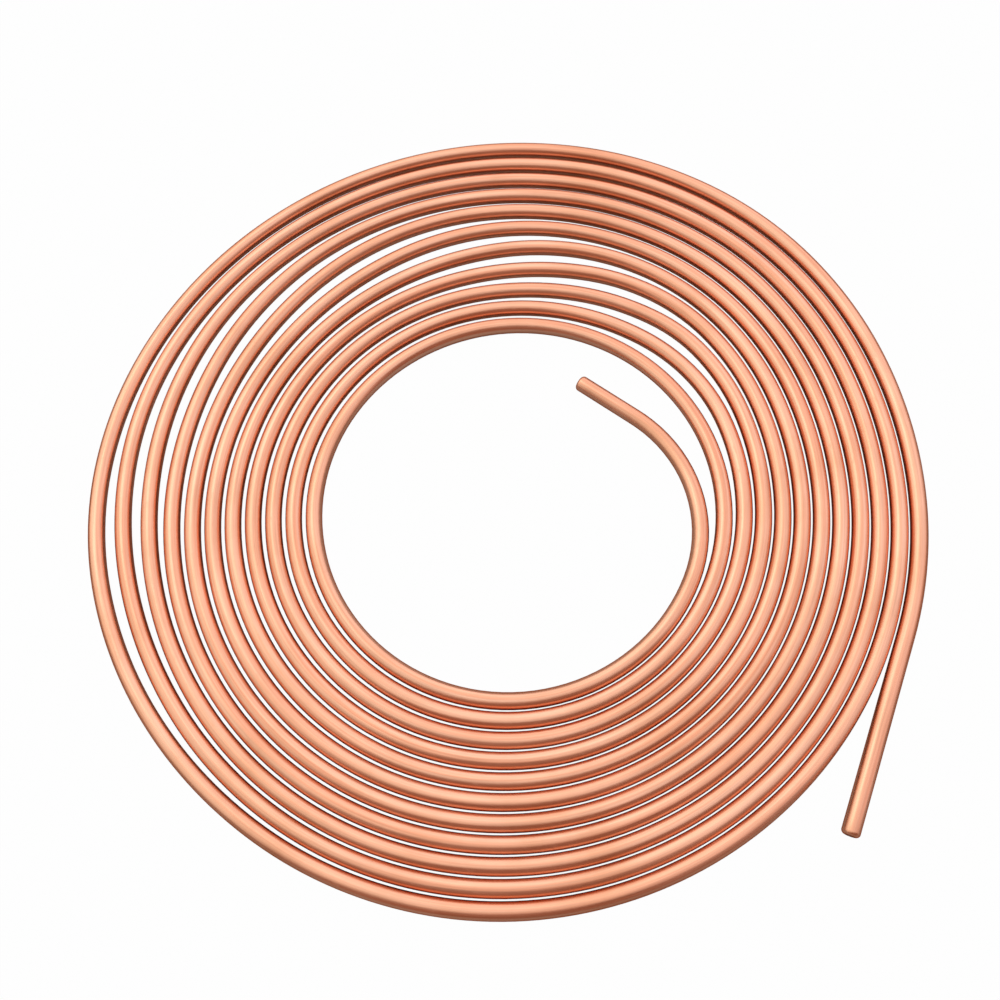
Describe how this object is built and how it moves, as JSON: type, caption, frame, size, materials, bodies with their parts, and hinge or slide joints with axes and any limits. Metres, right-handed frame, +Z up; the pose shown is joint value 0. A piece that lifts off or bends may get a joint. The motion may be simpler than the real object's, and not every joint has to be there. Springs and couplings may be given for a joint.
{
  "type": "copper wire coil",
  "caption": "Flat single-layer coil of round bare copper wire with an open eye and two free straight ends, lying on its face.",
  "frame": {"origin": "centre of the coil's outline, on the floor it lies on", "axes": "+Z up through the coil's eye; the wire runs clockwise outwards seen from above; both free ends point away on the side between +X and -Y"},
  "size_m": [0.3219, 0.319, 0.0063],
  "materials": {
    "bare_copper": "satin, drawn, bare copper"
  },
  "bodies": {
    "root": {"copper_wire": "bare_copper"}
  },
  "joints": []
}
